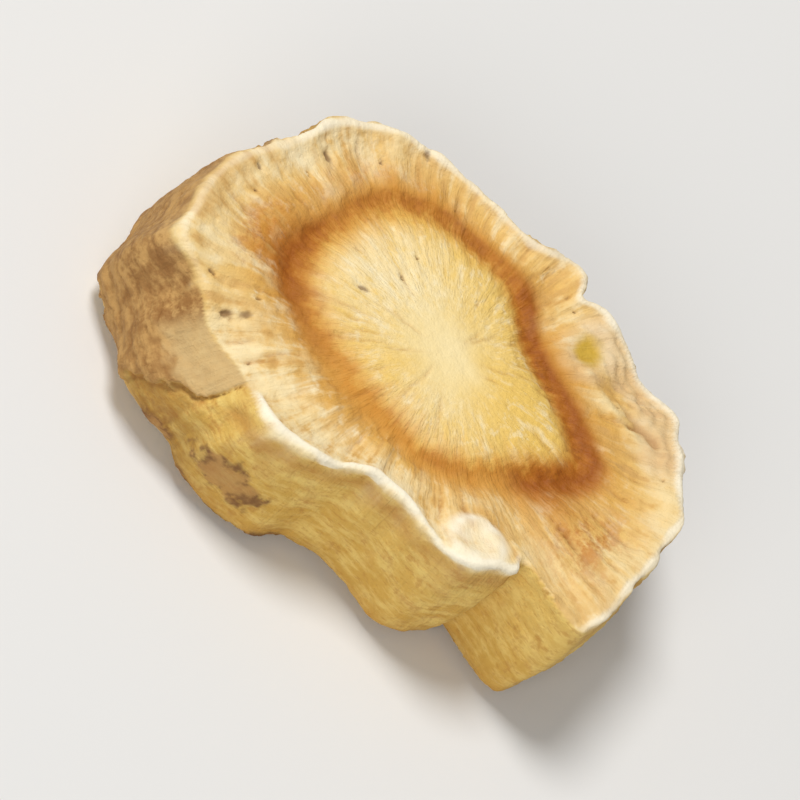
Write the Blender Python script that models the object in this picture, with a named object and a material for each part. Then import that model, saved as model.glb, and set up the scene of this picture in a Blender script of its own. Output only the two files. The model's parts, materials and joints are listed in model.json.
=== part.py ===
"""One dried slice of balloon flower root, modelled at its real size.

The root was sliced across and dried, so the slice is one grown piece: a pale wood core, a sunken ring where
the cambium shrank, and a broad bark round it with a wrinkled side. It lies on its underside.
+X runs along the longest way over the cut face and +Z out of it. The origin is under the middle of the slice.
All sizes below are in millimetres and all angles in degrees. The mesh itself is in metres.
"""

import math

import bmesh
import bpy
from mathutils import Vector, noise

MM = 0.001

# The cut face: distances from the pith, one every 15 degrees, anticlockwise from +X.
RIM_RADII = (
    7.85, 7.55, 7.35, 6.45, 5.95, 5.75, 5.40, 5.65, 6.25, 6.85, 7.20, 7.20,
    7.90, 8.20, 7.85, 7.15, 6.50, 6.00, 5.10, 5.15, 6.00, 6.45, 8.35, 8.00,
)
CAMBIUM_RADII = (
    4.90, 4.25, 3.45, 3.10, 3.20, 3.60, 3.95, 4.20, 4.50, 4.75, 4.85, 4.75,
    4.85, 4.85, 4.30, 3.75, 3.40, 3.15, 3.15, 3.30, 3.45, 3.55, 3.70, 4.10,
)
# Torn nicks and swollen lobes of the rim: middle, half width and how far out.
RIM_LOBES = (
    (6.0, 4.0, 0.20),
    (34.0, 4.5, 0.45),
    (49.0, 6.0, 0.15),
    (66.0, 3.5, -0.50),
    (74.5, 5.0, 0.30),
    (201.0, 4.5, 0.35),
    (211.0, 4.5, -0.30),
    (244.0, 6.0, 0.20),
    (306.0, 7.0, 0.35),
    (322.5, 3.6, -1.30),
    (327.0, 2.8, 0.50),
)

# The section is followed by its reach: 0 at the pith, 1 at the cambium and 2 at the rim. A pair of reaches
# says where a form starts and where it is full.
THICKNESS = 4.1
LONG_WARP = 0.30
CROSS_WARP = -0.20
WARP_REACH = 8.0

# Relief of the upper face: the shrunken cambium, the wood's dome, the bark's sag and its curled lip.
GROOVE_DEPTH = 0.32
GROOVE_WIDTH = 0.15
DOME_HEIGHT = 0.16
DOME_FALL = (0.2, 1.0)
SAG_DEPTH = 0.16
LIP_HEIGHT = 0.20
LIP_RISE = (1.66, 1.92)
EDGE_ROUND = 0.10
EDGE_FALL = (1.94, 2.0)
# Low uneven rays that fan out from the pith, and lumps left by drying.
BARK_RAYS = 0.14
WOOD_RAYS = 0.06
RAY_TIGHTNESS = 6.5
RAY_DRIFT = 0.15
RAY_RISE = (0.3, 0.9)
LUMP_HEIGHT = 0.15
LUMP_SPACING = 2.3
LUMP_RISE = (0.0, 0.8)
# A rootlet once grew through the bark and left a ringed scar, and a knob of bark has swollen into a pad.
SCAR_MIDDLE = Vector((3.25, 3.70))
SCAR_RADIUS = 0.75
SCAR_RING = 0.30
SCAR_DIMPLE = 0.42
SCAR_HEIGHT = 0.16
PAD_MIDDLE = Vector((3.60, -4.30))
PAD_RADIUS = 1.10
PAD_HEIGHT = 0.20

# The underside is flat under the wood, where the slice rests, and lifts beyond it.
FLAT_REACH = 0.78
LIFT_HEIGHT = 0.34
LIFT_RISE = (FLAT_REACH, 2.0)
UNDER_GROOVE_DEPTH = 0.22
UNDER_GROOVE_RISE = (FLAT_REACH, 0.95)
UNDER_LUMP_RISE = (FLAT_REACH, 1.3)

# The root's side bulges, leans and is wrinkled lengthwise. Each set of wrinkles has its depth, how many go
# round, how unevenly they are spaced, and how often the spacing changes.
SIDE_BULGE = 0.18
LEAN = Vector((-0.25, -0.15))
WRINKLES = (
    (0.055, 31, 1.6, 3),
    (0.045, 22, 1.1, 5),
    (0.030, 13, 0.8, 2),
)
WRINKLE_SLANT = 7.0
WRINKLE_RISE = (1.1, 2.0)
# Shoulders where the rim is worn down: middle, half width, how far the side stands out, how far the rim drops.
SHOULDERS = (
    (222.0, 17.0, 0.60, 0.75),
    (38.0, 15.0, 0.10, 0.60),
)
SHOULDER_FALL = (1.45, 2.0)
SHOULDER_HIGH = 0.7
# The old skin still clings to part of the side, from one angle to another and down to a share of the height.
SKIN_ANGLES = (168.0, 233.0)
SKIN_LOW = 0.30
SKIN_THICKNESS = 0.12

# The mesh: how many steps round, and the places of its rings over the top, down the side and back below.
STEPS_ROUND = 160
TOP_REACHES = (
    0.14, 0.28, 0.42, 0.55, 0.67, 0.78, 0.87, 0.94, 1.00, 1.07, 1.17, 1.30, 1.45, 1.60, 1.75, 1.87, 1.95, 2.00,
)
SIDE_SHARES = (0.94, 0.84, 0.68, 0.50, 0.32, 0.16, 0.06)
UNDER_REACHES = (2.00, 1.92, 1.75, 1.50, 1.28, 1.12, 1.00, 0.90, FLAT_REACH, 0.50)
RINGS = len(TOP_REACHES) + len(SIDE_SHARES) + len(UNDER_REACHES) + 1

BARK_COLOUR = (0.71, 0.54, 0.29, 1.0)
BARK_ROUGHNESS = 0.75


def around(values, angle):
    """Reads equally spaced values round a circle at any angle, on a smooth closed curve through them all."""
    place = angle / math.tau * len(values)
    first = math.floor(place)
    step = place - first
    before, start, end, after = (values[(first + k) % len(values)] for k in (-1, 0, 1, 2))
    cubic = 3.0 * (start - end) + after - before
    square = 2.0 * before - 5.0 * start + 4.0 * end - after
    return start + 0.5 * step * (end - before + step * (square + step * cubic))


def ramp(value, rise):
    """Rises smoothly from 0 to 1 over a pair of values."""
    share = min(1.0, max(0.0, (value - rise[0]) / (rise[1] - rise[0])))
    return share * share * (3.0 - 2.0 * share)


def hump(away, half_width):
    """A hump of height 1, gone at about twice its half width."""
    return math.exp(-((away / half_width) ** 2))


def swell(angle, middle, half_width):
    """A hump round one angle of the slice."""
    away = (math.degrees(angle) - middle + 180.0) % 360.0 - 180.0
    return hump(away, half_width)


def direction(angle):
    return Vector((math.cos(angle), math.sin(angle)))


def wrinkle(angle, share):
    """How far the wrinkled side stands out at a share of the height. The wrinkles slant on their way down."""
    turned = angle + math.radians(WRINKLE_SLANT) * (1.0 - share)
    return sum(
        depth * math.sin(count * turned + uneven * math.sin(changes * turned))
        for depth, count, uneven, changes in WRINKLES
    )


def rim_radius(angle):
    lobes = sum(out * swell(angle, middle, half_width) for middle, half_width, out in RIM_LOBES)
    return around(RIM_RADII, angle) + lobes


def face_place(angle, reach, share):
    """A point of a cut face, seen from above. The wrinkles of the side die away inwards through the bark."""
    cambium = around(CAMBIUM_RADII, angle)
    rim = rim_radius(angle) + wrinkle(angle, share) * ramp(reach, WRINKLE_RISE)
    distance = cambium * min(reach, 1.0) + (rim - cambium) * max(reach - 1.0, 0.0)
    return direction(angle) * distance + LEAN * (1.0 - share)


def groove(reach):
    return hump(reach - 1.0, GROOVE_WIDTH)


def lumps(place, height):
    return LUMP_HEIGHT * noise.noise(Vector((place.x, place.y, height)) / LUMP_SPACING)


def rays(angle, reach):
    fan = direction(angle).to_3d() + Vector((0.0, 0.0, RAY_DRIFT * reach))
    height = WOOD_RAYS if reach < 1.0 else BARK_RAYS
    return height * noise.noise(fan * RAY_TIGHTNESS) * ramp(reach, RAY_RISE) * (1.0 - groove(reach))


def round_marks(place):
    """The ringed scar of the rootlet and the swollen pad."""
    from_scar = (place - SCAR_MIDDLE).length
    from_pad = (place - PAD_MIDDLE).length
    scar = hump(from_scar - SCAR_RADIUS, SCAR_RING) - hump(from_scar, SCAR_DIMPLE)
    return SCAR_HEIGHT * scar + PAD_HEIGHT * hump(from_pad**2, PAD_RADIUS**2)


def top_point(angle, reach):
    """A point of the upper cut face."""
    place = face_place(angle, reach, 1.0)
    dome = DOME_HEIGHT * (1.0 - ramp(reach, DOME_FALL))
    sag = SAG_DEPTH * math.sin(math.pi * max(reach - 1.0, 0.0))
    lip = LIP_HEIGHT * ramp(reach, LIP_RISE) - EDGE_ROUND * ramp(reach, EDGE_FALL)
    worn = sum(drop * swell(angle, middle, half_width) for middle, half_width, _, drop in SHOULDERS)
    relief = dome - sag + lip - worn * ramp(reach, SHOULDER_FALL) - GROOVE_DEPTH * groove(reach)
    relief += rays(angle, reach) + round_marks(place) + lumps(place, THICKNESS) * ramp(reach, LUMP_RISE)
    warp = (LONG_WARP * place.x**2 + CROSS_WARP * place.y**2) / WARP_REACH**2
    return Vector((place.x, place.y, THICKNESS + warp + relief))


def under_point(angle, reach):
    """A point of the lower cut face."""
    place = face_place(angle, reach, 0.0)
    lift = LIFT_HEIGHT * ramp(reach, LIFT_RISE)
    hollow = UNDER_GROOVE_DEPTH * groove(reach) * ramp(reach, UNDER_GROOVE_RISE)
    rough = abs(lumps(place, 0.0)) * ramp(reach, UNDER_LUMP_RISE)
    return Vector((place.x, place.y, lift + hollow + rough))


def side_point(angle, share):
    """A point of the root's side, at a share of the height between the rims of the two cut faces."""
    top = top_point(angle, 2.0).z
    under = under_point(angle, 2.0).z
    radius = rim_radius(angle) + wrinkle(angle, share) + SIDE_BULGE * math.sin(math.pi * share)
    for middle, half_width, out, _ in SHOULDERS:
        radius += out * swell(angle, middle, half_width) * math.sin(math.pi * share**SHOULDER_HIGH)
    if SKIN_ANGLES[0] < math.degrees(angle) < SKIN_ANGLES[1] and share > SKIN_LOW:
        radius += SKIN_THICKNESS
    place = direction(angle) * radius + LEAN * (1.0 - share)
    return Vector((place.x, place.y, under + share * (top - under)))


def slice_point(angle, ring):
    """One point of the slice, from its angle and the number of its ring, counted from the upper pith down."""
    if ring == 0:
        return top_point(0.0, 0.0)
    ring -= 1
    for places, find_point in (
        (TOP_REACHES, top_point),
        (SIDE_SHARES, side_point),
        (UNDER_REACHES, under_point),
    ):
        if ring < len(places):
            return find_point(angle, places[ring])
        ring -= len(places)
    return under_point(0.0, 0.0)


def press_slice(mesh):
    """Presses the rings of a sphere into the section of the slice, and sets it down over the origin."""
    body = bmesh.new()
    bmesh.ops.create_uvsphere(body, u_segments=STEPS_ROUND, v_segments=RINGS, radius=1.0)
    for vertex in body.verts:
        angle = math.atan2(vertex.co.y, vertex.co.x) % math.tau
        ring = round(vertex.co.angle(Vector((0.0, 0.0, 1.0))) / math.pi * RINGS)
        vertex.co = slice_point(angle, ring) * MM
    low = Vector(min(vertex.co[axis] for vertex in body.verts) for axis in range(3))
    high = Vector(max(vertex.co[axis] for vertex in body.verts) for axis in range(3))
    middle = (low + high) / 2.0
    bmesh.ops.translate(body, verts=body.verts, vec=(-middle.x, -middle.y, -low.z))
    bmesh.ops.recalc_face_normals(body, faces=body.faces)
    body.to_mesh(mesh)
    body.free()


def dried_root():
    material = bpy.data.materials.new("dried_root")
    material.use_nodes = True
    shader = material.node_tree.nodes["Principled BSDF"]
    shader.inputs["Base Color"].default_value = BARK_COLOUR
    shader.inputs["Roughness"].default_value = BARK_ROUGHNESS
    shader.inputs["Metallic"].default_value = 0.0
    return material


def add_slice(collection):
    mesh = bpy.data.meshes.new("root_slice")
    press_slice(mesh)
    mesh.shade_smooth()
    mesh.materials.append(dried_root())
    collection.objects.link(bpy.data.objects.new("root_slice", mesh))


def main():
    for found in list(bpy.data.objects):
        bpy.data.objects.remove(found)
    collection = bpy.data.collections.new("dried_root_slice")
    bpy.context.scene.collection.children.link(collection)
    add_slice(collection)


main()
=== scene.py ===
import json
import math
import random

import bpy
import numpy as np
from mathutils import Matrix, Vector, noise

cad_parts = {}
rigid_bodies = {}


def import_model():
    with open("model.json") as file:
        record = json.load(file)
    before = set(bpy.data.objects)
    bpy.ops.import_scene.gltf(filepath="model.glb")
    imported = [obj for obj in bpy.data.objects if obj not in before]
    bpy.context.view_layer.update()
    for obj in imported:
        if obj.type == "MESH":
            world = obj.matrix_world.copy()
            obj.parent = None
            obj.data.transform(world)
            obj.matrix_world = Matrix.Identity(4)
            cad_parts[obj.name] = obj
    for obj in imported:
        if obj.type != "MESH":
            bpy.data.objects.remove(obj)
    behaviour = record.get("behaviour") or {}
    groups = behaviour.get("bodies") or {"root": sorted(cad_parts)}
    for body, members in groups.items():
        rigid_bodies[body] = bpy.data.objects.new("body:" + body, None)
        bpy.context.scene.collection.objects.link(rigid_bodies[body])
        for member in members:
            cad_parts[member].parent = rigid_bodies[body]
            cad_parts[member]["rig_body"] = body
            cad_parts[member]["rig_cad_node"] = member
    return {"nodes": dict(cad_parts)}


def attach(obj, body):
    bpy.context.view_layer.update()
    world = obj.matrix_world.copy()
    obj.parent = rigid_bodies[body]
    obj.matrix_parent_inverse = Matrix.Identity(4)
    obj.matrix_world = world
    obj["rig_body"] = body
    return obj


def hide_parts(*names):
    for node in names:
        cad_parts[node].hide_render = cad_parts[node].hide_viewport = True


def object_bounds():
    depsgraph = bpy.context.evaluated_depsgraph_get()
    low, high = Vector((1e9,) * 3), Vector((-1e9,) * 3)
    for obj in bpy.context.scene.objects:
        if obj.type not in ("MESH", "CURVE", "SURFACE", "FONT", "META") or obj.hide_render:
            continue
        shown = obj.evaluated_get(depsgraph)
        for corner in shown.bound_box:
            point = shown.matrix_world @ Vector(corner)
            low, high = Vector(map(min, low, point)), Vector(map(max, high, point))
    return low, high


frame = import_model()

cad_low, cad_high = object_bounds()


# The slice. A thick root was cut across and dried, so wood, cambium, bark and old skin are one grown piece.
# The blank is a copy of the CAD slice, closed up and given an even fine mesh. It is worked in millimetres,
# and turned back to metres at the end.
MM = 1000.0
MERGE_GAP = 0.001
QUAD_ANGLE = math.radians(60.0)
MESH_CELL = 0.079
RELAX = 0.5
RELAX_TIMES = 3

cad_slice = frame["nodes"]["root_slice"]
bpy.ops.object.select_all(action="DESELECT")
cad_slice.select_set(True)
bpy.context.view_layer.objects.active = cad_slice
bpy.ops.object.duplicate()
cut_slice = bpy.context.active_object
bpy.ops.object.parent_clear(type="CLEAR_KEEP_TRANSFORM")
cut_slice.name = "cut_slice"
cut_slice.data.name = "cut_slice"
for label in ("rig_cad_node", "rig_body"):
    if label in cut_slice:
        del cut_slice[label]

bpy.ops.object.mode_set(mode="EDIT")
bpy.ops.mesh.select_all(action="SELECT")
bpy.ops.transform.resize(value=(MM, MM, MM), center_override=(0.0, 0.0, 0.0))
bpy.ops.mesh.remove_doubles(threshold=MERGE_GAP)
bpy.ops.mesh.tris_convert_to_quads(face_threshold=QUAD_ANGLE, shape_threshold=QUAD_ANGLE)
bpy.ops.object.mode_set(mode="OBJECT")

rounding = cut_slice.modifiers.new("rounding", "SUBSURF")
rounding.levels = 1
rounding.render_levels = 1
bpy.ops.object.modifier_apply(modifier="rounding")
even_mesh = cut_slice.modifiers.new("even_mesh", "REMESH")
even_mesh.mode = "VOXEL"
even_mesh.voxel_size = MESH_CELL
bpy.ops.object.modifier_apply(modifier="even_mesh")
relax = cut_slice.modifiers.new("relax", "SMOOTH")
relax.factor = RELAX
relax.iterations = RELAX_TIMES
bpy.ops.object.modifier_apply(modifier="relax")

# Where a point of the slice lies: its angle round the pith, and its reach, 0 at the pith, 1 at the cambium
# and 2 at the rim. Both lines are given every 15 degrees from +X, anticlockwise, in millimetres from the
# pith, which leans aside from the underside to the upper face.
PITH = np.array((0.276, 0.199))
LEAN = np.array((-0.25, -0.15))
THICKNESS = 4.1
CAMBIUM_RADII = np.array((
    4.90, 4.25, 3.45, 3.10, 3.20, 3.60, 3.95, 4.20, 4.50, 4.75, 4.85, 4.75,
    4.85, 4.85, 4.30, 3.75, 3.40, 3.15, 3.15, 3.30, 3.45, 3.55, 3.70, 4.10,
))
RIM_RADII = np.array((
    7.85, 7.55, 7.35, 6.45, 5.95, 5.75, 5.40, 5.65, 6.25, 6.85, 7.20, 7.20,
    7.90, 8.20, 7.85, 7.15, 6.50, 6.00, 5.10, 5.15, 6.00, 6.45, 8.35, 8.00,
))
# Nicks and swollen lobes of the rim: middle, half width in degrees, and how far out.
RIM_LOBES = (
    (6.0, 4.0, 0.20), (34.0, 4.5, 0.45), (49.0, 6.0, 0.15), (66.0, 3.5, -0.50), (74.5, 5.0, 0.30),
    (201.0, 4.5, 0.35), (211.0, 4.5, -0.30), (244.0, 6.0, 0.20), (306.0, 7.0, 0.35),
    (322.5, 3.6, -1.30), (327.0, 2.8, 0.50),
)
PAST_RIM = 1.2


def around(values, angle):
    """Reads equally spaced values round the slice at any angle, on a smooth closed curve."""
    place = angle / math.tau * len(values)
    first = np.floor(place).astype(int)
    step = place - first
    before, start, end, after = (values[(first + k) % len(values)] for k in (-1, 0, 1, 2))
    cubic = 3.0 * (start - end) + after - before
    square = 2.0 * before - 5.0 * start + 4.0 * end - after
    return start + 0.5 * step * (end - before + step * (square + step * cubic))


def ramp(value, low, high):
    """Rises smoothly from 0 at low to 1 at high, or falls where high is the lower one."""
    share = np.clip((value - low) / (high - low), 0.0, 1.0)
    return share * share * (3.0 - 2.0 * share)


def hump(away, half_width):
    """A hump of height 1, gone at about twice its half width."""
    return np.exp(-((away / half_width) ** 2))


def apart(angle, middle):
    """Degrees from one angle of the slice to another."""
    return (np.degrees(angle) - middle + 180.0) % 360.0 - 180.0


def grain(points):
    """Smooth noise between -1 and 1 at each row of points."""
    return np.array([noise.noise(Vector(point)) for point in points])


def column(*parts):
    """Puts lists of values side by side, as the rows of points that the noise is read at."""
    return np.stack(np.broadcast_arrays(*parts), axis=-1)


def stretches(places, angle):
    """Adds up humps round the slice, each given by its middle angle, half width and height."""
    return sum(high * hump(apart(angle, middle), half) for middle, half, high in places)


def measure(flat):
    """Distance from the pith, angle, distance in from the rim, and reach."""
    distance = np.linalg.norm(flat, axis=1)
    angle = np.arctan2(flat[:, 1], flat[:, 0]) % math.tau
    cambium = around(CAMBIUM_RADII, angle)
    rim = around(RIM_RADII, angle) + stretches(RIM_LOBES, angle)
    in_bark = np.clip((distance - cambium) / (rim - cambium), 0.0, PAST_RIM)
    return distance, angle, rim - distance, np.minimum(distance / cambium, 1.0) + in_bark


count = len(cut_slice.data.vertices)
flat_list = np.empty(count * 3)
cut_slice.data.vertices.foreach_get("co", flat_list)
points = flat_list.reshape(-1, 3).copy()
cut_slice.data.vertices.foreach_get("normal", flat_list)
normals = flat_list.reshape(-1, 3).copy()

# Rays are drawn from a soft pith, so that they don't run together into a star.
SOFT_PITH = 1.3
height = np.clip(points[:, 2] / THICKNESS, 0.0, 1.0)
flat = points[:, :2] - PITH - LEAN * (1.0 - height)[:, None]
distance, angle, from_rim, reach = measure(flat)
degrees = np.degrees(angle)
ray = flat / np.hypot(distance, SOFT_PITH)[:, None]


def from_to(start, end, soft, end_soft=None):
    """1 between two angles of the slice and 0 outside them, softened by so many degrees at each end."""
    end_soft = end_soft or soft
    return ramp(apart(angle, start), -soft, soft) * ramp(apart(angle, end), end_soft, -end_soft)


# The side is where the surface stands steep. At one place its upper edge is worn to a shoulder, this far in.
STEEP = (0.80, 0.45)
OUTER = (1.55, 1.75)
WORN_SHOULDER = ((226.5, 13.5, 0.62),)
upper = normals[:, 2] > 0.0
shoulder_in = stretches(WORN_SHOULDER, angle)
shoulder = ramp(shoulder_in - from_rim, 0.0, 0.10) * ramp(shoulder_in, 0.06, 0.16) * upper
on_side = np.maximum(ramp(np.abs(normals[:, 2]), *STEEP) * ramp(reach, *OUTER), shoulder)
on_face = 1.0 - on_side
on_top = upper * on_face

# Wood fills the middle of a cut face, bark its outer part, and the cambium ring lies between them.
BARK_FROM = (1.05, 1.35)
WOOD_TO = (0.98, 0.80)
RING_AT = 1.02
RING_HALF = 0.22
bark = ramp(reach, *BARK_FROM) * on_face
wood = ramp(reach, *WOOD_TO) * on_face
ring = hump(reach - RING_AT, RING_HALF) * on_face

# The sap dried a little off the bottom of the groove, so the colours of the ring have a reach of their own.
SAP_DRIFT = np.array((0.05, 0.27))
sap_reach = measure(flat - SAP_DRIFT * ramp(reach, 1.9, 1.3)[:, None])[3]

# How far a point lies below the rim above it, from the highest point of every three degrees of the rim.
RIM_STEPS = 120
NEAR_RIM = 1.8
rim_tops = np.zeros(RIM_STEPS)
near_rim = points[:, 2] * (reach > NEAR_RIM)
np.maximum.at(rim_tops, (angle / math.tau * RIM_STEPS).astype(int) % RIM_STEPS, near_rim)
below_rim = around(rim_tops, angle - math.pi / RIM_STEPS) - points[:, 2]

# The grain of dried root: rays from the pith, and crumbs and lumps with no direction.
DOWN_THE_SIDE = 0.3


def fan(tightness, along, shift=0.0):
    """Noise drawn out along the rays of the wood and down the side."""
    run = distance * along + points[:, 2] * DOWN_THE_SIDE + shift
    return grain(column(ray[:, 0] * tightness, ray[:, 1] * tightness, run))


def waves_round(tightness, depth):
    """Noise that changes round the slice, and down the side as the depth says."""
    return grain(column(ray[:, 0] * tightness, ray[:, 1] * tightness, depth))


broad_rays = fan(9.0, 0.2)
rays = fan(17.0, 0.30, 3.0)
fine_rays = fan(34.0, 0.55, 7.0)
wood_rays = fan(12.0, 0.9, 21.0)
crumb = grain(points * 3.2 + 5.0)
fine_crumb = grain(points * 7.0 - 3.0)
lump = grain(points * 1.1 + 11.0)

# The upper rim curls up into a thick pale lip where the bark dried hard. Each stretch of it has its two
# angles, its softness in degrees and its strength.
LIP_STRETCHES = (
    (236.0, 319.5, 2.5, 1.0), (330.0, 335.0, 3.0, 0.8), (335.0, 424.0, 8.0, 0.75), (64.0, 164.0, 8.0, 0.60),
    (164.0, 205.0, 8.0, 0.25),
)
LIP_IN = 0.12
LIP_WIDTH = 0.135
LIP_HEIGHT = 0.12
LIP_DOWN = (0.28, 0.10)
lip_waves = waves_round(4.0, 61.0)
lip_nicks = waves_round(13.0, 67.0)
lip_strength = sum(strong * from_to(start, end, soft) for start, end, soft, strong in LIP_STRETCHES)
lip_strength = np.clip(lip_strength * (1.0 + 0.45 * lip_waves + 0.30 * lip_nicks), 0.0, 1.0)
lip_width = LIP_WIDTH * (1.0 + 0.45 * lip_waves + 0.35 * lip_nicks)
lip_middle = LIP_IN + 0.9 * shoulder_in - 0.05 * lump
lip_under = below_rim + 0.05 * crumb + 0.05 * lip_nicks
lip_roll = hump(from_rim - lip_middle, lip_width) * ramp(lip_under, *LIP_DOWN)
lip = lip_strength * lip_roll

# A knob of bark has swollen into a pad, and a rootlet once grew through the bark and left a yellow knot.
PAD = np.array((3.55, -4.35))
PAD_EDGE = (1.10, 0.70)
PAD_ROLL = 0.80
PAD_ROLL_HALF = 0.17
PAD_DIMPLE = (0.60, 0.15)
KNOT = np.array((3.20, 3.75))
KNOT_LONGER = (1.0, 0.85)
KNOT_EDGE = (0.60, 0.24)
KNOT_LOBE = (1.10, 0.60)
from_pad = np.linalg.norm(flat - PAD, axis=1) + 0.14 * lump + 0.05 * crumb
from_knot = np.linalg.norm((flat - KNOT) * KNOT_LONGER, axis=1) + 0.10 * crumb + 0.05 * lump
pad = ramp(from_pad, *PAD_EDGE) * on_top
pad_dimple = ramp(from_pad, *PAD_DIMPLE) * on_top
pad_roll = hump(from_pad - PAD_ROLL, PAD_ROLL_HALF) * on_top
knot = ramp(from_knot, *KNOT_EDGE) * on_top
knot_lobe = ramp(from_knot, *KNOT_LOBE) * on_top

# The grain is fainter on the lip, the pad and the knot.
calm = 1.0 - 0.85 * np.clip(1.6 * lip + pad + 0.7 * knot_lobe, 0.0, 1.0)

# The rim is worn to a slope over the knot, with fine lines along it.
WORN_RIM = (14.0, 60.0, 4.0)
WORN_FROM = (1.58, 1.72)
WORN_LINES = 15.0
worn = from_to(*WORN_RIM) * ramp(reach, *WORN_FROM) * upper
worn_lines = np.sin(from_rim * WORN_LINES + 2.5 * lump + 1.5 * rays)

# Below the knot the bark dried into folds along the rim: two ends, half width, and how far up or down.
FOLDS = (
    ((3.55, 3.02), (5.90, 2.35), 0.17, 0.08), ((4.60, 3.30), (6.10, 2.70), 0.11, -0.08),
    ((4.90, 3.75), (6.20, 3.05), 0.13, 0.05), ((5.05, 4.05), (5.75, 3.72), 0.08, -0.05),
)
folds = np.zeros(count)
for start, end, half, high in FOLDS:
    way = np.array(end) - start
    share = np.clip((flat - start) @ way / (way @ way), 0.0, 1.0)
    away = np.linalg.norm(flat - start - share[:, None] * way, axis=1) + 0.06 * crumb + 0.04 * lump
    folds += high * hump(away, half) * on_top

# Open pores and drying cracks, drawn out along the rays. Each has its angle, its reach, and half its length
# and width in millimetres. The pores seen best have their own places, and the rest are drawn between bounds.
SEEN_PORES = [
    (154.5, 1.62, 0.22, 0.13), (124.7, 1.86, 0.16, 0.11), (215.0, 1.72, 0.24, 0.15),
    (214.5, 1.55, 0.20, 0.13), (182.0, 0.59, 0.16, 0.10), (206.5, 1.80, 0.14, 0.08),
    (138.0, 1.55, 0.12, 0.07), (175.0, 1.80, 0.14, 0.08), (209.0, 1.40, 0.12, 0.07),
    (136.0, 0.62, 0.12, 0.06), (152.0, 0.50, 0.12, 0.06),
]
ANYWHERE = (0.0, 360.0)
PORE_BOUNDS = (ANYWHERE, (1.2, 1.85), (0.06, 0.13), (0.04, 0.07))
BARK_CRACK_BOUNDS = (ANYWHERE, (1.15, 1.85), (0.25, 0.8), (0.035, 0.065))
WOOD_CRACK_BOUNDS = (ANYWHERE, (0.30, 0.95), (0.2, 0.6), (0.03, 0.05))
draw = random.Random(11)


def drawn(number, bounds):
    """Draws so many marks at random, each value between its own two bounds."""
    return [tuple(draw.uniform(low, high) for low, high in bounds) for _ in range(number)]


pore_marks = SEEN_PORES + drawn(36, PORE_BOUNDS)
crack_marks = drawn(70, BARK_CRACK_BOUNDS) + drawn(60, WOOD_CRACK_BOUNDS)


def openings(marks, seen, ragged):
    """How deep each point lies in an opening, 0 to 1. Those after the seen ones lie on either face."""
    deep = np.zeros(count)
    for number, (turn, share, long, wide) in enumerate(marks):
        turn = np.array([math.radians(turn)])
        inner = float(around(CAMBIUM_RADII, turn)[0])
        outer = float(around(RIM_RADII, turn)[0])
        out = inner * min(share, 1.0) + (outer - inner) * max(share - 1.0, 0.0)
        way = np.array((math.cos(turn[0]), math.sin(turn[0])))
        its_face = upper if number < seen or number % 2 else ~upper
        away = flat - way * out
        chosen = its_face & (on_face > 0.5) & (np.abs(away).max(axis=1) < 3.0 * long)
        along = away[chosen] @ way
        across = away[chosen] @ np.array((-way[1], way[0])) + 0.05 * crumb[chosen]
        depth = hump(np.hypot(along / long, across / wide) + ragged * fine_crumb[chosen], 1.0)
        deep[chosen] = np.maximum(deep[chosen], depth)
    return deep


# The bark beside the tip has few pores.
FEW_PORES = ((350.0, 22.0, 0.8),)
pores = openings(pore_marks, len(SEEN_PORES), 0.55) * (1.0 - stretches(FEW_PORES, angle) * upper)
cracks = openings(crack_marks, 0, 0.25) * ramp(from_rim, 0.3, 0.8) * calm

# Relief of the cut faces. Each grain has its depth in millimetres.
BARK_GRAIN = ((broad_rays, 0.040), (rays, 0.044), (fine_rays, 0.024), (crumb, 0.036), (fine_crumb, 0.026))
BARK_SWELL = 0.04
WOOD_RAY_GRAIN = ((wood_rays, 0.026), (fine_rays, 0.018))
WOOD_GRAIN = ((crumb, 0.016), (fine_crumb, 0.018))
RING_GRAIN = ((crumb, 0.045), (fine_crumb, 0.034), (rays, 0.03))
RING_SUNK = 0.02
BARK_CRACK_DEPTH = 0.08
WOOD_CRACK_DEPTH = 0.05
PAD_HEIGHT = 0.10
PAD_MOAT = 0.03
DIMPLE_DEPTH = 0.05
PAD_ROLL_HEIGHT = 0.035
KNOT_HEIGHT = 0.07
KNOT_LOBE_HEIGHT = 0.04
WORN_LINE_DEPTH = 0.035
PORE_DEPTH = 0.12


def grained(grains):
    """Adds up grains, each given with its depth."""
    return sum(deep * part for part, deep in grains)


relief = bark * calm * grained(BARK_GRAIN) + bark * BARK_SWELL * lump
relief += wood * (ramp(distance, 0.6, 2.4) * grained(WOOD_RAY_GRAIN) + grained(WOOD_GRAIN))
relief += ring * (grained(RING_GRAIN) - RING_SUNK)
relief -= cracks * (BARK_CRACK_DEPTH * bark + WOOD_CRACK_DEPTH * wood)
relief += LIP_HEIGHT * lip
relief += on_top * (PAD_HEIGHT * ramp(from_pad, 1.05, 0.55) - PAD_MOAT * hump(from_pad - 1.15, 0.14))
relief += PAD_ROLL_HEIGHT * pad_roll - DIMPLE_DEPTH * pad_dimple
relief += on_top * (KNOT_HEIGHT * hump(from_knot, 0.40) + KNOT_LOBE_HEIGHT * knot_lobe)
relief += WORN_LINE_DEPTH * worn * on_face * worn_lines
relief += folds - PORE_DEPTH * pores

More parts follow.
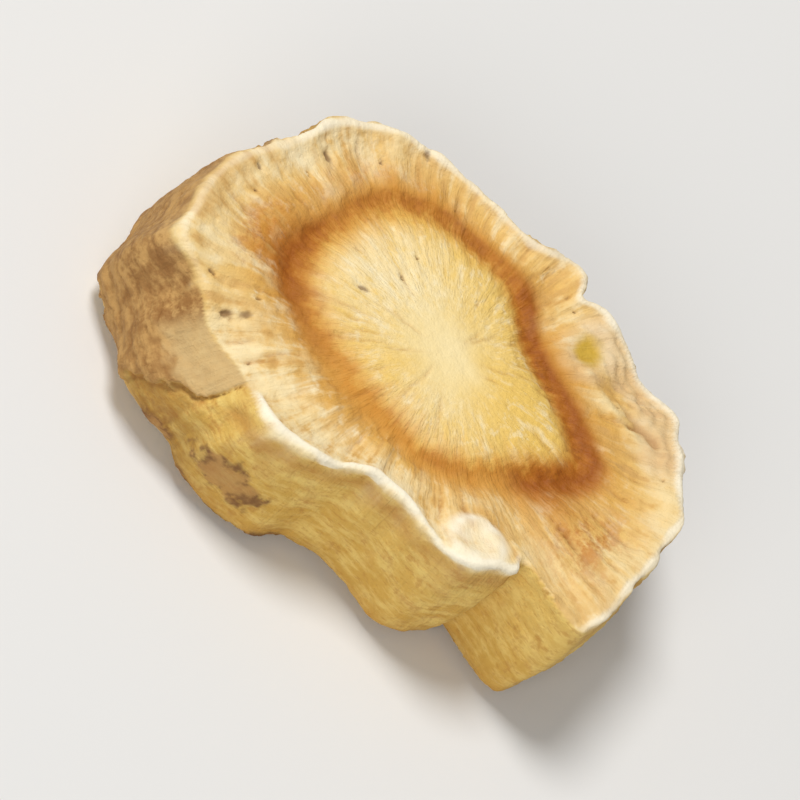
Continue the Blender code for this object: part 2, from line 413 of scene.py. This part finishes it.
# The side: long wrinkles down the root, fine ones over them. They are deeper on the far side, with creases.
wrinkles = fan(9.0, 0.0, 31.0)
fine_wrinkles = fan(26.0, 0.0, 37.0)
cross = waves_round(5.0, points[:, 2] * 2.6 + 9.0)
fine_cross = waves_round(11.0, points[:, 2] * 6.0 + 19.0)
SIDE_GRAIN = (
    (wrinkles, 0.050), (fine_wrinkles, 0.014), (cross, 0.036), (fine_cross, 0.020), (crumb, 0.022),
    (fine_crumb, 0.014),
)
FAR_MIDDLE = 75.0
FAR_HALF = (110.0, 80.0)
FAR_GRAIN = ((wrinkles, 0.13), (fine_wrinkles, 0.050))
CREASE_DEPTH = 0.09
CREASE_WIDTH = 0.12
far_side = ramp(np.abs(apart(angle, FAR_MIDDLE)), *FAR_HALF) * on_side
creases = ramp(np.abs(wrinkles + 0.2 * cross), CREASE_WIDTH, 0.0)
relief += on_side * grained(SIDE_GRAIN)
relief += far_side * (grained(FAR_GRAIN) - CREASE_DEPTH * creases)

# The foot of the wall swells out a little.
FOOT_SWELL = ((257.0, 13.0, 0.42),)
relief += on_side * stretches(FOOT_SWELL, angle) * ramp(height, 0.75, 0.10)

# The old skin still clings to part of the side. The CAD slice has it between two angles and above one
# height. Its torn border here runs lower or higher as it goes round.
SKIN_THICKNESS = 0.12
CAD_SKIN_ENDS = (168.0, 233.0, 0.8)
CAD_SKIN_FROM = (0.27, 0.33)
SKIN_LOW = 0.20
SKIN_DIP = ((210.0, 10.0, 0.12),)
SKIN_RIGHT_CLIMBS = ((214.0, 236.0, 0.62), (231.0, 236.0, 0.8))
SKIN_LEFT = (180.0, 164.0)
SKIN_LEFT_CLIMB = 0.9
TORN_SOFT = 0.03
cad_skin = from_to(*CAD_SKIN_ENDS) * ramp(height, *CAD_SKIN_FROM)
border = SKIN_LOW - stretches(SKIN_DIP, angle)
border += sum(climb * ramp(degrees, start, end) for start, end, climb in SKIN_RIGHT_CLIMBS)
border += SKIN_LEFT_CLIMB * ramp(degrees + 7.0 * lump + 5.0 * crumb, *SKIN_LEFT)
over_border = height - border + 0.07 * crumb + 0.09 * lump + 0.04 * fine_crumb
near_skin = ramp(over_border, -TORN_SOFT, TORN_SOFT)
relief += on_side * SKIN_THICKNESS * (near_skin - cad_skin)

# A second patch of it is left on the far side: middle angle and height, and half width of each.
FAR_PATCH = (88.0, 0.30, 24.0, 0.34)
FAR_PATCH_THICKNESS = 0.06


def from_patch(middle, middle_height, half, half_height):
    """How far each point of the side lies from the middle of a patch, 1 at the patch's edge."""
    return np.hypot(apart(angle, middle) / half, (height - middle_height) / half_height)


from_far_patch = from_patch(*FAR_PATCH) + 0.8 * lump + 0.6 * crumb + 0.2 * fine_crumb
far_patch = ramp(from_far_patch, 1.04, 0.96) * on_side
relief += FAR_PATCH_THICKNESS * far_patch
skin = np.maximum(near_skin * on_side, far_patch)

# The skin is wrinkled across, but smoother where it has worn pale, and its end is torn to a line.
SKIN_LINE_DEPTH = 0.030
PALE_FOOT = ((211.0, 7.0, 0.8),)
PALE_END = 216.0
TORN_ENDS = (218.5, 236.0, 3.5, 2.0)
TORN_DEPTH = 0.06
skin_waves = grain(column(ray[:, 0] * 5.0 + 0.5 * lump, ray[:, 1] * 5.0, points[:, 2] * 3.4 + 0.8 * crumb))
skin_lines = ramp(np.abs(skin_waves), 0.16, 0.0)
pale_end = ramp(apart(angle, PALE_END), -4.0, 3.0) * ramp(height + 0.08 * crumb, 0.62, 0.80)
skin_light = np.clip(stretches(PALE_FOOT, angle) * ramp(height, 0.16, 0.02) + pale_end, 0.0, 1.0)
torn_line = hump(over_border + 0.05, 0.035) * on_side * from_to(*TORN_ENDS)
relief -= skin * SKIN_LINE_DEPTH * skin_lines * (1.0 - 0.6 * skin_light) + torn_line * TORN_DEPTH

# Scraps of skin, darker round their torn edges, each given like the far patch. Four have their own places.
SEEN_SCRAPS = [
    (248.5, 0.41, 8.0, 0.13), (231.0, 0.20, 3.5, 0.10), (264.0, 0.10, 4.5, 0.05), (241.0, 0.10, 3.0, 0.05),
]
SCRAP_BOUNDS = ((-25.0, 165.0), (0.1, 0.9), (4.0, 9.0), (0.03, 0.07))
SCRAP_THICKNESS = 0.03
SCRAP_EDGE_HEIGHT = 0.02
scraps = np.zeros(count)
scrap_edges = np.zeros(count)
for scrap in SEEN_SCRAPS + drawn(7, SCRAP_BOUNDS):
    away = from_patch(*scrap) + 0.55 * crumb + 0.20 * fine_crumb
    scraps = np.maximum(scraps, ramp(away, 1.15, 0.85))
    scrap_edges = np.maximum(scrap_edges, hump(away - 0.92, 0.22))
scraps *= on_side
scrap_edges *= on_side
relief += SCRAP_THICKNESS * scraps + SCRAP_EDGE_HEIGHT * scrap_edges

# The cut edges crumble a little, and on the underside nothing stands below the flat spot. The worn shoulder
# slopes down from the face.
CRUMBLE_DEPTH = 0.05
SHOULDER_SLOPE = 0.8
SHOULDER_MOST = 0.7
SHOULDER_FADES = 1.5
edge_band = ramp(from_rim, 0.45, 0.05) * on_face + on_side * ramp(np.abs(height - 0.5), 0.42, 0.5)
relief -= edge_band * calm * CRUMBLE_DEPTH * ramp(crumb + 0.4 * fine_crumb, 0.1, 0.6)
relief = np.where((on_face > 0.5) & ~upper, np.minimum(relief, 0.0), relief)
moved = points + normals * relief[:, None]
shoulder_down = SHOULDER_SLOPE * np.clip(shoulder_in - from_rim, 0.0, SHOULDER_MOST)
moved[:, 2] -= shoulder_down * ramp(below_rim, SHOULDER_FADES, 0.0)
moved[:, 2] = np.maximum(moved[:, 2], 0.0)

# What would stand outside the CAD slice's box is pressed back softly. Then back to metres.
SOFT_EDGE = 0.30
low = np.array(cad_low) * MM
high = np.array(cad_high) * MM


def pressed(over):
    """How far to press a point back that lies so far past the soft edge."""
    return np.where(over > 0.0, over - SOFT_EDGE * np.tanh(over / SOFT_EDGE), 0.0)


for axis in range(3):
    moved[:, axis] -= pressed(moved[:, axis] - (high[axis] - SOFT_EDGE))
    if axis < 2:
        moved[:, axis] += pressed(low[axis] + SOFT_EDGE - moved[:, axis])
moved /= MM
cut_slice.data.vertices.foreach_set("co", moved.ravel())
cut_slice.data.update()
bpy.ops.object.shade_smooth()

# The sap in the cambium dried darkest in some places: middle, half width, reach, half reach, strength.
STAINS = (
    (5.0, 20.0, 1.02, 0.24, 0.9), (32.0, 20.0, 0.93, 0.16, 0.9), (62.0, 22.0, 0.95, 0.13, 1.0),
    (74.0, 14.0, 1.14, 0.16, 0.55), (110.0, 24.0, 0.97, 0.11, 0.55), (105.0, 18.0, 1.22, 0.16, 0.3),
    (145.0, 18.0, 0.98, 0.12, 0.5), (172.0, 12.0, 1.00, 0.13, 0.5), (192.0, 15.0, 1.14, 0.26, 0.85),
    (216.0, 16.0, 1.06, 0.18, 0.4), (300.0, 20.0, 1.00, 0.10, 0.4), (345.0, 14.0, 1.06, 0.20, 0.5),
    (344.0, 7.0, 1.34, 0.16, 0.6), (189.0, 11.0, 1.44, 0.18, 0.55),
)
# The bark dried pale in others.
PALE_PATCHES = (
    (7.0, 9.0, 1.80, 0.17, 0.9), (22.0, 7.0, 1.72, 0.12, 0.6), (64.0, 4.0, 1.50, 0.25, 0.5),
    (91.0, 6.0, 1.65, 0.22, 0.3), (111.0, 5.0, 1.45, 0.25, 0.3), (133.0, 6.0, 1.50, 0.20, 0.45),
    (154.0, 7.0, 1.60, 0.28, 0.8), (158.0, 12.0, 1.26, 0.12, 0.45), (177.0, 6.0, 1.75, 0.15, 0.8),
    (194.0, 8.0, 1.72, 0.18, 0.8), (222.0, 11.0, 1.60, 0.30, 0.8), (238.0, 9.0, 1.78, 0.16, 0.6),
    (248.0, 14.0, 1.62, 0.16, 0.8), (278.0, 8.0, 1.60, 0.16, 0.5), (300.0, 7.0, 1.45, 0.22, 0.8),
    (316.0, 12.0, 1.24, 0.12, 0.55), (331.0, 8.0, 1.55, 0.28, 0.7), (341.0, 6.0, 1.80, 0.15, 0.7),
    (350.0, 7.0, 1.86, 0.11, 0.7),
)
# Orange specks crowd together in three places, and one spot bleached out.
SPECKLED = ((190.0, 11.0, 1.42, 0.20, 0.7), (345.0, 13.0, 1.55, 0.25, 1.0), (150.0, 25.0, 1.35, 0.20, 0.5))
BLEACHED_SPOT = ((152.0, 22.0, 1.80, 0.22, 1.0),)
# The bark behind the lip bleached out too, between two angles with their softness at each end. The wood
# yellowed and turned milky in stretches, and the wall's foot browned in one: middle, half width, strength.
BLEACHED_ENDS = (217.0, 315.0, 11.0, 9.0)
BLEACHED = 1.3
YELLOWED = ((12.0, 50.0, 1.0), (95.0, 25.0, 0.5), (236.0, 22.0, 0.6), (190.0, 20.0, 0.4))
MILKY = ((165.0, 42.0, 1.0), (282.0, 38.0, 0.6))
BROWNED = ((231.0, 13.0, 1.0),)
# The bark is yellower towards one side, and pale on its folds.
SUNNY_SIDE = 25.0
FOLD_PALE = 11.0
# The skin is darkest in three places.
DARK_UPPER = ((204.0, 10.0, 0.6),)
DARK_LINE = ((213.5, 2.0, 0.7),)
DARK_END = ((180.0, 8.0, 0.6),)


def spread(places, reach_used):
    """Adds up patches, each given by its middle angle, half width, reach, half reach and strength."""
    return sum(
        strong * hump(apart(angle, middle), half) * hump(reach_used - at, wide)
        for middle, half, at, wide, strong in places
    )


def keep(name, values):
    """Keeps one value for each point of the slice, for its colours to follow."""
    kept_values = cut_slice.data.attributes.new(name, "FLOAT", "POINT")
    kept_values.data.foreach_set("value", values.astype(np.float32))


lip_skin = ramp(lip_roll + 0.12 * fine_crumb, 0.30, 0.90) * lip_strength
lip_cover = ramp(lip_roll * lip_strength, 0.15, 0.5)
# The face is lighter along the rim: partly its own pale edge, partly a painted highlight.
rim_edge = ramp(from_rim, 0.40, 0.10) * ramp(normals[:, 2], 0.1, 0.4) * lip_strength * (1.0 - shoulder)
bleached = spread(BLEACHED_SPOT, reach) + BLEACHED * from_to(*BLEACHED_ENDS) * ramp(reach, 1.25, 1.85)
pale = lip_skin + pad * (0.50 + 0.4 * crumb) + 0.35 * pad_roll - 0.10 * pad_dimple + 0.20 * knot_lobe
skin_dark = stretches(DARK_UPPER, angle) * ramp(height, 0.35, 0.85)
skin_dark += stretches(DARK_LINE, angle) * ramp(height, 0.3, 0.6)
skin_dark += stretches(DARK_END, angle) * hump(height - 0.5, 0.3)

keep("reach", sap_reach)
keep("side", on_side * (1.0 - lip_cover) * (1.0 - 0.6 * rim_edge))
keep("stain", np.clip(spread(STAINS, sap_reach), 0.0, 1.0) * on_face)
keep("speckled", spread(SPECKLED, reach) * on_face)
keep("rim_edge", rim_edge)
keep("patches", np.clip(spread(PALE_PATCHES, reach) + FOLD_PALE * folds, 0.0, 1.0) * on_top)
keep("sunny", 0.5 + 0.5 * np.cos(np.radians(apart(angle, SUNNY_SIDE))))
keep("bleached", np.clip(bleached, 0.0, 1.0) * upper)
keep("yellowed", stretches(YELLOWED, angle) * ramp(reach, 0.12, 0.42) * on_face)
keep("milky", stretches(MILKY, angle) * ramp(reach, 0.20, 0.50) * ramp(reach, 0.92, 0.72) * on_face)
keep("relief", relief)
keep("cracks", cracks)
keep("pale", np.clip(pale, 0.0, 1.0))
keep("knot", knot)
keep("worn", worn)
keep("pores", pores)
keep("skin", skin)
keep("browned", on_side * stretches(BROWNED, angle) * ramp(height, 0.75, 0.25))
# A painted shade darkens the side just under the lip.
keep("under_lip", on_side * lip_strength * hump(below_rim - 0.50, 0.28))
keep("torn", torn_line)
keep("far_side", far_side)
keep("scraps", scraps)
keep("scrap_edges", scrap_edges)
keep("skin_light", skin * skin_light)
keep("skin_lines", skin_lines * skin * (1.0 - 0.75 * skin_light))
keep("skin_dark", skin * np.clip(skin_dark, 0.0, 1.0))


class Tone:
    """A value or a colour that changes over the slice."""

    def __init__(self, tree, socket):
        self.tree = tree
        self.socket = socket

    def node(self, kind, settings, sockets, output=0):
        """Adds a node, given its type, its settings and the values or links of its sockets."""
        made = self.tree.nodes.new(kind)
        for name, value in settings.items():
            if name == "stops":
                stops = made.color_ramp.elements
                stops.remove(stops[0])
                for number, (place, colour) in enumerate(value):
                    stop = stops[0] if number == 0 else stops.new(place)
                    stop.position = place
                    stop.color = (*colour, 1.0)
            else:
                setattr(made, name, value)
        for name, value in sockets.items():
            if isinstance(value, Tone):
                self.tree.links.new(value.socket, made.inputs[name])
            else:
                made.inputs[name].default_value = value
        return Tone(self.tree, made.outputs[output])

    def maths(self, operation, *values):
        """Adds a Math node for an operation on values."""
        return self.node("ShaderNodeMath", {"operation": operation}, dict(enumerate(values)))

    def inverse_root(self):
        """One over the square root."""
        return self.maths("INVERSE_SQRT", self)

    def __add__(self, other):
        return self.maths("ADD", self, other)

    def __sub__(self, other):
        return self.maths("SUBTRACT", self, other)

    def __rsub__(self, other):
        return self.maths("SUBTRACT", other, self)

    def __mul__(self, other):
        return self.maths("MULTIPLY", self, other)

    __radd__ = __add__
    __rmul__ = __mul__


dried_flesh = bpy.data.materials.new("dried_flesh")
dried_flesh.use_nodes = True
shader = dried_flesh.node_tree.nodes["Principled BSDF"]
coordinates = dried_flesh.node_tree.nodes.new("ShaderNodeTexCoord")
place = Tone(dried_flesh.node_tree, coordinates.outputs["Object"])
place_mm = place.node("ShaderNodeVectorMath", {"operation": "SCALE"}, {0: place, "Scale": MM})


def kept(name):
    """Reads a value that the slice keeps for each of its points."""
    return place.node("ShaderNodeAttribute", {"attribute_name": name}, {}, "Fac")


def on_screen(red, green, blue):
    """Turns a colour given as a screen shows it, 0 to 255, to the linear values of a shader."""
    return tuple(
        (value / 255.0 / 12.92) if value / 255.0 <= 0.04045 else ((value / 255.0 + 0.055) / 1.055) ** 2.4
        for value in (red, green, blue)
    )


def mix(share, first, second):
    """The first colour, turning to the second as the share goes from 0 to 1."""
    colours = [colour if isinstance(colour, Tone) else (*colour, 1.0) for colour in (first, second)]
    return place.node("ShaderNodeMix", {"data_type": "RGBA"}, {0: share, 6: colours[0], 7: colours[1]}, 2)


def painted(colour, coats):
    """Lays coats over a colour one after another, each given by how much it covers and its own colour."""
    for cover, coat in coats:
        colour = mix(cover, colour, coat)
    return colour


def between(value, low, high):
    """Rises smoothly from 0 at low to 1 at high, or falls where high is the lower one."""
    return place.node(
        "ShaderNodeMapRange", {"interpolation_type": "SMOOTHSTEP"},
        {"Value": value, "From Min": low, "From Max": high},
    )


def uneven(value, *changes):
    """Makes a value uneven by noises, each given with how much it may change the value."""
    for pattern, amount in changes:
        value = value + (pattern - 0.5) * amount
    return value


def noise_at(vector, scale, detail, roughness):
    """Noise between 0 and 1."""
    return place.node(
        "ShaderNodeTexNoise", {}, {"Vector": vector, "Scale": scale, "Detail": detail, "Roughness": roughness}
    )


def mottle(scale, detail=3.0, roughness=0.6):
    """Noise with no direction, with so many spots a millimetre."""
    return noise_at(place_mm, scale, detail, roughness)


# Rays in the colours start from the soft pith too.
from_pith = place.node("ShaderNodeVectorMath", {"operation": "SUBTRACT"}, {0: place_mm, 1: (*PITH, 0.0)})
from_pith = place.node("ShaderNodeVectorMath", {"operation": "MULTIPLY"}, {0: from_pith, 1: (1.0, 1.0, 0.0)})
out_from_pith = place.node("ShaderNodeVectorMath", {"operation": "LENGTH"}, {0: from_pith}, "Value")
soft_way = (out_from_pith * out_from_pith + SOFT_PITH**2).inverse_root()
way_out = place.node("ShaderNodeVectorMath", {"operation": "SCALE"}, {0: from_pith, "Scale": soft_way})
high_up = place.node("ShaderNodeSeparateXYZ", {}, {0: place_mm}, 2)
STREAKS_DOWN = 0.35


def streaks(tightness, along, shift, detail=2.0, roughness=0.5):
    """Noise drawn out along the rays of the cut face and down the side."""
    across = place.node("ShaderNodeVectorMath", {"operation": "SCALE"}, {0: way_out, "Scale": tightness})
    run = out_from_pith * along + high_up * STREAKS_DOWN + shift
    drift = place.node("ShaderNodeCombineXYZ", {}, {2: run})
    vector = place.node("ShaderNodeVectorMath", {"operation": "ADD"}, {0: across, 1: drift})
    return noise_at(vector, 1.0, detail, roughness)


WOOD_YELLOW = on_screen(238, 198, 102)
PALE_STREAK = on_screen(252, 238, 200)
PALE_GREY = on_screen(242, 217, 162)
BARK_YELLOW = on_screen(230, 186, 104)
TAN_STREAK = on_screen(208, 162, 94)
WAX_WHITE = on_screen(253, 243, 218)
SAP_BROWN = on_screen(150, 88, 30)
SAP_ORANGE = on_screen(192, 120, 44)
PORE_BROWN = on_screen(104, 66, 34)
KNOT_YELLOW = on_screen(206, 166, 42)
WORN_GREY = on_screen(220, 190, 150)
SIDE_OLIVE = on_screen(212, 168, 78)
SIDE_PALE = on_screen(238, 206, 120)
SIDE_BROWN = on_screen(184, 126, 54)
SKIN_TAN = on_screen(196, 152, 90)
SKIN_BROWN = on_screen(132, 84, 34)
SKIN_PALE = on_screen(216, 186, 130)
SCRAP_BROWN = on_screen(118, 78, 42)
SCRAP_TAN = on_screen(178, 130, 78)

soft = mottle(0.8, 4.0)
blotch = mottle(1.7)
speck = mottle(5.5)
fine_speck = mottle(13.0, 2.0)
bark_streak = streaks(17.0, 0.45, 0.0, 3.0, 0.6)
fine_streak = streaks(40.0, 1.1, 5.0, 2.0, 0.6)
wood_streak = streaks(15.0, 0.9, 11.0, 3.0, 0.6)
broad_streak = streaks(11.0, 0.3, 29.0, 2.0, 0.55)
side_streak = streaks(26.0, 0.0, 23.0, 3.0)
bands = uneven(streaks(4.5, 0.5, 41.0), (bark_streak, 0.35), (blotch, 0.25))

# From the pith to the rim, at half the reach: pale wood, yellow wood, the brown ring of dried sap, then bark
# that gets paler. The second row is for where the sap stained most.
PALE_FACE = (
    (0.00, on_screen(248, 226, 170)), (0.20, on_screen(246, 220, 156)), (0.34, on_screen(240, 204, 122)),
    (0.42, on_screen(228, 178, 86)), (0.49, on_screen(206, 142, 54)), (0.55, on_screen(210, 150, 64)),
    (0.66, on_screen(220, 166, 78)), (0.80, on_screen(231, 188, 108)), (1.00, on_screen(238, 204, 138)),
)
DARK_FACE = (
    (0.00, on_screen(244, 214, 144)), (0.32, on_screen(236, 192, 102)), (0.40, on_screen(216, 156, 64)),
    (0.465, on_screen(178, 106, 22)), (0.52, on_screen(156, 84, 8)), (0.60, on_screen(182, 111, 30)),
    (0.70, on_screen(208, 146, 58)), (0.86, on_screen(226, 178, 94)), (1.00, on_screen(234, 200, 134)),
)
reach_here = kept("reach")
stain_here = kept("stain")
side_here = kept("side")
far_here = kept("far_side")
ragged_reach = uneven(
    reach_here, (broad_streak, 0.30), (bark_streak, 0.16), (soft, 0.16), (speck, 0.14), (blotch, 0.14)
)
pale_face = place.node("ShaderNodeValToRGB", {"stops": PALE_FACE}, {"Fac": ragged_reach * 0.5})
dark_face = place.node("ShaderNodeValToRGB", {"stops": DARK_FACE}, {"Fac": ragged_reach * 0.5})
face = mix(between(uneven(stain_here, (soft, 0.35), (speck, 0.15)), 0.08, 0.85), pale_face, dark_face)

in_wood = between(reach_here, 0.94, 0.72)
in_bark = between(reach_here, 1.08, 1.36)
off_centre = between(out_from_pith, 0.6, 2.6)
rayed_wood = in_wood * off_centre
wood_patch = blotch * 0.6 + speck * 0.4
bark_patch = uneven(bark_streak * 0.6 + broad_streak * 0.4, (blotch, 0.4))
sunny = kept("sunny")

# The wood yellowed or turned milky in places, with fine rays. The bark has rays, bands, patches and specks.
face = painted(face, (
    (in_wood * kept("yellowed") * 0.95, WOOD_YELLOW),
    (kept("milky") * 0.45, PALE_STREAK),
    (in_bark * sunny * 0.30, BARK_YELLOW),
    (rayed_wood * between(wood_streak, 0.50, 0.72) * 0.50, PALE_STREAK),
    (rayed_wood * between(wood_streak, 0.48, 0.30) * 0.60, WOOD_YELLOW),
    (rayed_wood * between(fine_streak, 0.44, 0.28) * 0.20, TAN_STREAK),
    (rayed_wood * between(wood_patch, 0.52, 0.64) * 0.40, WOOD_YELLOW),
    (rayed_wood * between(wood_patch, 0.47, 0.35) * 0.40, PALE_STREAK),
    (in_bark * between(bark_patch, 0.50, 0.68) * (0.70 - 0.30 * sunny), PALE_STREAK),
    (in_bark * between(uneven(bark_streak, (blotch, 0.5)), 0.49, 0.30) * 0.70, TAN_STREAK),
    (in_bark * between(blotch, 0.56, 0.74) * 0.35, PALE_STREAK),
    (kept("bleached") * between(uneven(blotch, (bark_streak, 0.6)), 0.30, 0.60) * 0.62, PALE_STREAK),
    (in_bark * between(fine_streak, 0.42, 0.26) * 0.30, TAN_STREAK),
    (in_bark * between(bands, 0.52, 0.66) * 0.45, PALE_GREY),
    (in_bark * between(bands, 0.48, 0.34) * 0.40, TAN_STREAK),
    (kept("patches") * between(blotch * 0.5 + bark_streak * 0.5, 0.34, 0.56) * 0.8, PALE_GREY),
    (kept("speckled") * between(speck * 0.4 + blotch * 0.6, 0.42, 0.60) * 0.85, SAP_ORANGE),
    (stain_here * between(speck * 0.6 + blotch * 0.4, 0.52, 0.64) * 0.40, SAP_BROWN),
    (kept("worn") * 0.55, WORN_GREY),
    # Painted highlight along the rim, over its pale edge.
    (kept("rim_edge") * 0.45, PALE_STREAK),
    (kept("pale") * (0.70 + 0.45 * (1.0 - soft)), WAX_WHITE),
    (kept("knot") * 0.9, KNOT_YELLOW),
))

# The side is olive, paler towards the rim and browner at its foot, with fine lines across. The old skin on it
# is tan and brown, pale where it wore smooth, and its scraps have dark edges.
FLATTENED = (1.0, 1.0, 3.2)
flattened = place.node("ShaderNodeVectorMath", {"operation": "MULTIPLY"}, {0: place_mm, 1: FLATTENED})
wall_mottle = noise_at(flattened, 1.0, 5.0, 0.66)
wall_lines = noise_at(flattened, 3.4, 3.0, 0.6)
old_skin = painted(SKIN_TAN, (
    (between(uneven(wall_mottle * 0.6 + blotch * 0.4, (speck, 0.3)), 0.42, 0.62) * 0.50, SKIN_BROWN),
    (kept("skin_light") * uneven(0.7, (speck, 0.6)), SKIN_PALE),
    (kept("skin_dark") * between(uneven(blotch, (speck, 0.4)), 0.36, 0.58) * 0.75, SKIN_BROWN),
))
torn_edges = kept("scrap_edges") * between(uneven(blotch, (speck, 0.4)), 0.36, 0.56)
side = painted(SIDE_OLIVE, (
    (between(wall_mottle * 0.7 + blotch * 0.2 + soft * 0.2, 0.46, 0.66) * 0.80, SIDE_PALE),
    (between(uneven(high_up, (soft, 1.5)), 1.6, 3.9) * 0.35, SIDE_PALE),
    (between(wall_lines, 0.47, 0.32) * 0.40, SIDE_BROWN),
    (between(side_streak, 0.46, 0.32) * (0.12 + 0.38 * far_here), SIDE_BROWN),
    (between(uneven(blotch, (speck, 0.5)), 0.55, 0.72) * 0.45, SIDE_BROWN),
    (between(uneven(soft, (blotch, 0.3)), 0.52, 0.66) * 0.30, SIDE_BROWN),
    (between(uneven(high_up, (soft, 1.6)), 1.2, 0.1) * 0.40, SIDE_BROWN),
    (kept("browned") * between(blotch, 0.25, 0.52) * 0.6, SKIN_BROWN),
    # Painted shade under the lip, in brown.
    (kept("under_lip") * 0.6, SIDE_BROWN),
    (kept("skin"), old_skin),
    (kept("skin_lines") * 0.45, SKIN_BROWN),
    (kept("scraps") * (0.7 - 0.3 * far_here), SCRAP_TAN),
    (torn_edges * (0.85 - 0.4 * far_here), SCRAP_BROWN),
    (kept("torn") * 0.5, SCRAP_BROWN),
))

# Sunken parts of the relief are darkened as painted shade, and cracks and pores are painted darker brown. The
# stained ring is a little glossier than the rest.
colour = painted(face, (
    (side_here, side),
    (between(kept("relief"), -0.03, -0.16) * 0.35, SAP_BROWN),
    (kept("cracks") * 0.30, SAP_BROWN),
    (between(kept("pores"), 0.25, 0.85) * 0.65, PORE_BROWN),
))
dried_flesh.node_tree.links.new(colour.socket, shader.inputs["Base Color"])

ROUGHNESS = 0.78
STAIN_GLOSS = 0.16
GRAIN_HEIGHT = 0.00008
GRAIN_STRENGTH = 0.7
DULL_SPECULAR = 0.35
rough = uneven(ROUGHNESS - STAIN_GLOSS * stain_here, (fine_speck, 0.2))
dried_flesh.node_tree.links.new(rough.socket, shader.inputs["Roughness"])
streak_height = (fine_streak + 0.7 * bark_streak) * off_centre * (1.0 - kept("pale") * 0.8)
fine_height = streak_height * 0.9 + speck * 0.5 + fine_speck * 0.35 + side_here * wall_lines * 0.4
bump = place.node(
    "ShaderNodeBump", {}, {"Strength": GRAIN_STRENGTH, "Distance": GRAIN_HEIGHT, "Height": fine_height}
)
dried_flesh.node_tree.links.new(bump.socket, shader.inputs["Normal"])
shader.inputs["Specular IOR Level"].default_value = DULL_SPECULAR

cut_slice.data.materials.clear()
cut_slice.data.materials.append(dried_flesh)
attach(cut_slice, "root")
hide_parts("root_slice")


# The floor is a plain pale sheet, not part of the object.
FLOOR_WIDTH = 3.0
FLOOR_COLOUR = (0.80, 0.79, 0.77, 1.0)
FLOOR_ROUGHNESS = 0.9
bpy.ops.object.select_all(action="DESELECT")
bpy.ops.mesh.primitive_plane_add(size=FLOOR_WIDTH, location=(0.0, 0.0, 0.0))
floor = bpy.context.active_object
floor.name = "floor"
floor_paint = bpy.data.materials.new("floor_paint")
floor_paint.use_nodes = True
floor_paint.node_tree.nodes["Principled BSDF"].inputs["Base Color"].default_value = FLOOR_COLOUR
floor_paint.node_tree.nodes["Principled BSDF"].inputs["Roughness"].default_value = FLOOR_ROUGHNESS
floor.data.materials.append(floor_paint)

# Soft studio light: a round lamp above and behind the slice, a weaker one in front of it, and pale walls.
# Each lamp has its name, the way to it, how far off it is and how wide, in metres, and its power in watts.
LAMPS = (
    ("key", Vector((-0.42, 0.12, 0.90)), 0.30, 0.11, 0.60),
    ("fill", Vector((-0.15, -1.00, 0.55)), 0.35, 0.22, 0.42),
)
WALL_COLOUR = (1.0, 0.99, 0.97, 1.0)
WALL_LIGHT = 0.28
studio = bpy.data.worlds.new("studio")
studio.use_nodes = True
studio.node_tree.nodes["Background"].inputs["Color"].default_value = WALL_COLOUR
studio.node_tree.nodes["Background"].inputs["Strength"].default_value = WALL_LIGHT
bpy.context.scene.world = studio
for name, way, away, width, power in LAMPS:
    lamp = bpy.data.lights.new(name, "AREA")
    lamp.shape = "DISK"
    lamp.size = width
    lamp.energy = power
    lamp_object = bpy.data.objects.new(name, lamp)
    lamp_object.location = way.normalized() * away
    lamp_object.rotation_euler = way.to_track_quat("Z", "Y").to_euler()
    lamp_object.visible_camera = False
    bpy.context.scene.collection.objects.link(lamp_object)

# The camera looks at the cut face as the photograph does.
LOOK_AT = Vector((0.0003, -0.0002, 0.0021))
CAMERA_RIGHT = Vector((0.744, 0.421, 0.518)).normalized()
CAMERA_UP = Vector((-0.656, 0.611, 0.443)).normalized()
CAMERA_AWAY = 0.40
FRAME_WIDTH = 0.0215
SENSOR_WIDTH = 36.0
camera = bpy.data.cameras.new("camera")
camera.sensor_width = SENSOR_WIDTH
camera.lens = SENSOR_WIDTH * CAMERA_AWAY / FRAME_WIDTH
camera.clip_start = 0.01
camera.clip_end = 10.0
camera_object = bpy.data.objects.new("camera", camera)
camera_back = CAMERA_RIGHT.cross(CAMERA_UP).normalized()
turn = Matrix((CAMERA_RIGHT, camera_back.cross(CAMERA_RIGHT), camera_back)).transposed().to_4x4()
turn.translation = LOOK_AT + camera_back * CAMERA_AWAY
camera_object.matrix_world = turn
bpy.context.scene.collection.objects.link(camera_object)
bpy.context.scene.camera = camera_object
bpy.context.scene.view_settings.view_transform = "Standard"
